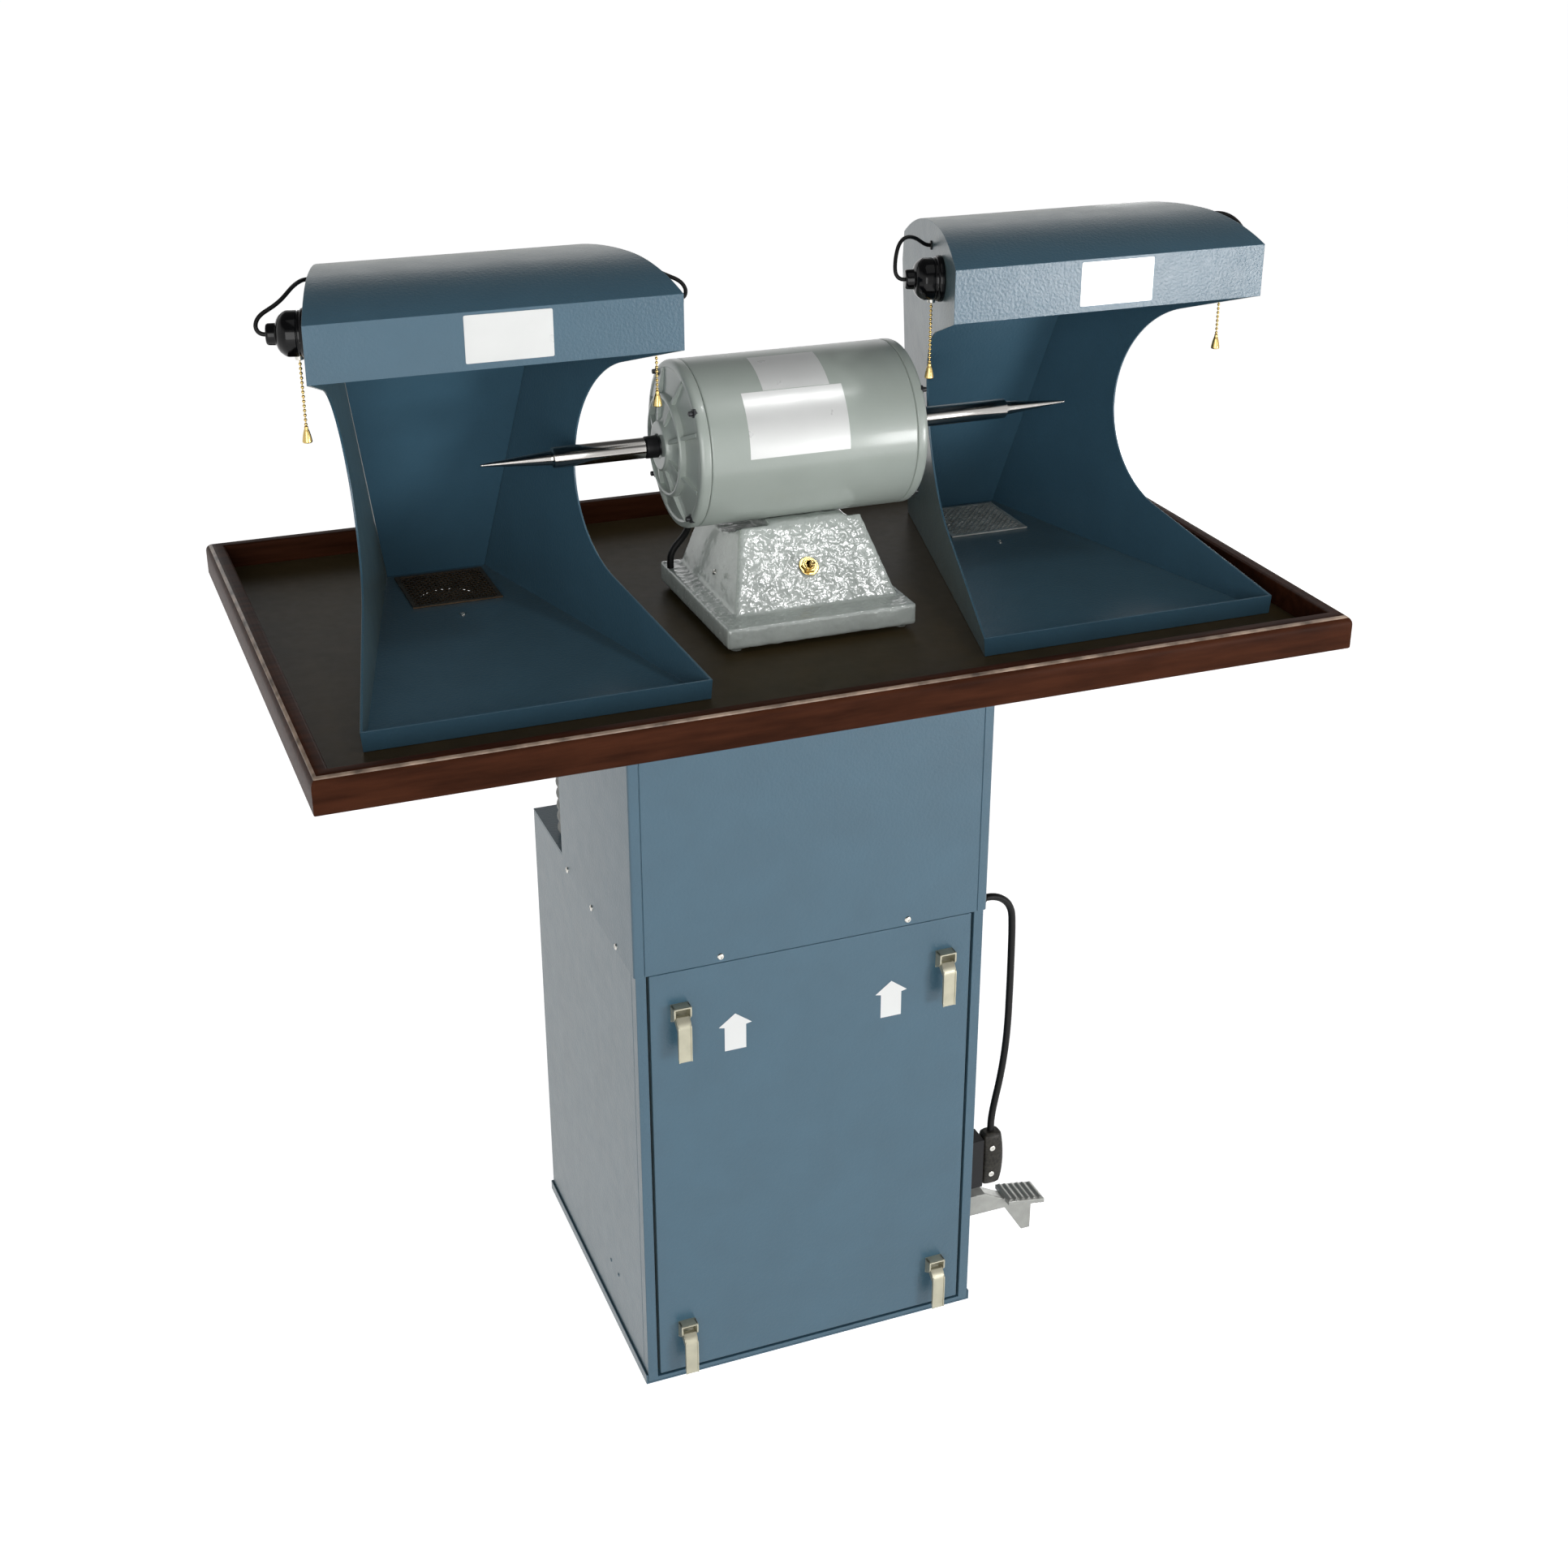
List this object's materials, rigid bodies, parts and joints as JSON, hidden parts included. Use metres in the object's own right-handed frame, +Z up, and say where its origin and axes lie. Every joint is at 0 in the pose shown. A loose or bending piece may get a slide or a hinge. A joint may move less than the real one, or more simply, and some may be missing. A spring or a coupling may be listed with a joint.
{
  "type": "double spindle polishing machine",
  "caption": "Floor-standing polishing machine: motor with two tapered spindles, lamp-lit dust hoods, tray, cabinet with blower, filter bags, latched door and foot pedal.",
  "frame": {"origin": "on the floor under the middle of the cabinet, at the underside of the base pan", "axes": "+X to the operator's right along the motor shaft, +Y to the rear, +Z up"},
  "size_m": [1.016, 0.616, 1.2098],
  "materials": {
    "blue_paint": "orange-peel enamel, semi-gloss",
    "grey_paint": "satin enamel",
    "cast_paint": "rough casting, glossy grey paint",
    "tray_edge": "dark mahogany moulding",
    "tray_floor": "dark brown laminate",
    "polished_steel": "polished",
    "dark_steel": "dark",
    "zinc": "cream zinc plate",
    "brass": "polished",
    "black_gloss": "glossy moulded",
    "black_rubber": "matt",
    "cast_aluminium": "as cast",
    "windings": "laminations and copper windings",
    "bulb_glass": "frosted",
    "filter_cloth": "woven cotton",
    "hose_plastic": "ribbed, flexible"
  },
  "bodies": {
    "machine": {"base_pan": "blue_paint", "cabinet_shell": "blue_paint", "cabinet_top_plate": "blue_paint", "door_frame": "blue_paint", "column_shell": "blue_paint", "column_rear_panel": "blue_paint", "tray_rim": "tray_edge", "tray_board": "tray_floor", "left_hood": "blue_paint", "left_hood_screen": "zinc", "left_hood_left_lamp_socket": "black_gloss", "left_hood_left_lamp_bulb": "bulb_glass", "left_hood_left_lamp_lead": "black_rubber", "left_hood_right_lamp_socket": "black_gloss", "left_hood_right_lamp_bulb": "bulb_glass", "left_hood_right_lamp_lead": "black_rubber", "right_hood": "blue_paint", "right_hood_screen": "zinc", "right_hood_left_lamp_socket": "black_gloss", "right_hood_left_lamp_bulb": "bulb_glass", "right_hood_left_lamp_lead": "black_rubber", "right_hood_right_lamp_socket": "black_gloss", "right_hood_right_lamp_bulb": "bulb_glass", "right_hood_right_lamp_lead": "black_rubber", "motor_shell": "grey_paint", "stator": "windings", "left_end_bell": "grey_paint", "right_end_bell": "grey_paint", "left_bearing": "polished_steel", "right_bearing": "polished_steel", "motor_pedestal": "cast_paint", "motor_lead": "black_rubber", "switch_body": "brass", "left_hose": "hose_plastic", "right_hose": "hose_plastic", "blower_housing": "grey_paint", "blower_motor": "dark_steel", "pedal_bracket": "zinc", "cord_gland": "black_rubber", "power_cord": "black_rubber", "plug": "black_rubber", "outlet": "black_rubber"},
    "rotor": {"rotor_shaft": "dark_steel", "left_spindle": "polished_steel", "right_spindle": "polished_steel"},
    "fan": {"impeller": "cast_aluminium"},
    "toggle": {"toggle_lever": "brass"},
    "door": {"door": "blue_paint"},
    "upper_left_latch": {"latch_lever_upper_left": "zinc"},
    "upper_right_latch": {"latch_lever_upper_right": "zinc"},
    "lower_left_latch": {"latch_lever_lower_left": "zinc"},
    "lower_right_latch": {"latch_lever_lower_right": "zinc"},
    "pedal": {"pedal_lever": "cast_aluminium"},
    "rack": {"bag_rack": "zinc", "left_filter_bag": "filter_cloth", "right_filter_bag": "filter_cloth"},
    "left_hood_left_chain": {"left_hood_left_pull_chain": "brass"},
    "left_hood_right_chain": {"left_hood_right_pull_chain": "brass"},
    "right_hood_left_chain": {"right_hood_left_pull_chain": "brass"},
    "right_hood_right_chain": {"right_hood_right_pull_chain": "brass"}
  },
  "joints": [
    {"name": "rotor_spin", "type": "hinge", "parent": "machine", "child": "rotor", "pos_m": [0.037, -0.014, 1.001], "axis": [1, 0, 0], "continuous": true},
    {"name": "fan_spin", "type": "hinge", "parent": "machine", "child": "fan", "pos_m": [-0.01, -0.062, 0.638], "axis": [1, 0, 0], "continuous": true},
    {"name": "toggle_flip", "type": "hinge", "parent": "machine", "child": "toggle", "pos_m": [0.027, -0.09811, 0.88675], "axis": [-1, 0, 0], "range_deg": [0, 20]},
    {"name": "door_off", "type": "slide", "parent": "machine", "child": "door", "axis": [0, -1, 0], "range_m": [0, 0.08]},
    {"name": "upper_left_latch_turn", "type": "hinge", "parent": "door", "child": "upper_left_latch", "pos_m": [-0.147, -0.195, 0.461], "axis": [-1, 0, 0], "range_deg": [0, 90]},
    {"name": "upper_right_latch_turn", "type": "hinge", "parent": "door", "child": "upper_right_latch", "pos_m": [0.147, -0.195, 0.461], "axis": [-1, 0, 0], "range_deg": [0, 90]},
    {"name": "lower_left_latch_turn", "type": "hinge", "parent": "door", "child": "lower_left_latch", "pos_m": [-0.147, -0.195, 0.061], "axis": [-1, 0, 0], "range_deg": [0, 90]},
    {"name": "lower_right_latch_turn", "type": "hinge", "parent": "door", "child": "lower_right_latch", "pos_m": [0.147, -0.195, 0.061], "axis": [-1, 0, 0], "range_deg": [0, 90]},
    {"name": "pedal_press", "type": "hinge", "parent": "machine", "child": "pedal", "pos_m": [0.166, -0.15, 0.104], "axis": [0, 1, 0], "range_deg": [0, 15]},
    {"name": "rack_lift", "type": "slide", "parent": "machine", "child": "rack", "axis": [0, 0, 1], "range_m": [0, 0.0107]},
    {"name": "left_hood_left_chain_pull", "type": "slide", "parent": "machine", "child": "left_hood_left_chain", "axis": [0, 0, -1], "range_m": [0, 0.01], "stiffness_N_per_m": 300, "springref_m": -0.005},
    {"name": "left_hood_right_chain_pull", "type": "slide", "parent": "machine", "child": "left_hood_right_chain", "axis": [0, 0, -1], "range_m": [0, 0.01], "stiffness_N_per_m": 300, "springref_m": -0.005},
    {"name": "right_hood_left_chain_pull", "type": "slide", "parent": "machine", "child": "right_hood_left_chain", "axis": [0, 0, -1], "range_m": [0, 0.01], "stiffness_N_per_m": 300, "springref_m": -0.005},
    {"name": "right_hood_right_chain_pull", "type": "slide", "parent": "machine", "child": "right_hood_right_chain", "axis": [0, 0, -1], "range_m": [0, 0.01], "stiffness_N_per_m": 300, "springref_m": -0.005}
  ],
  "couplings": [
    {"joint": "rack_lift", "follows": "pedal_press", "m_per_rad": 0.0405}
  ]
}
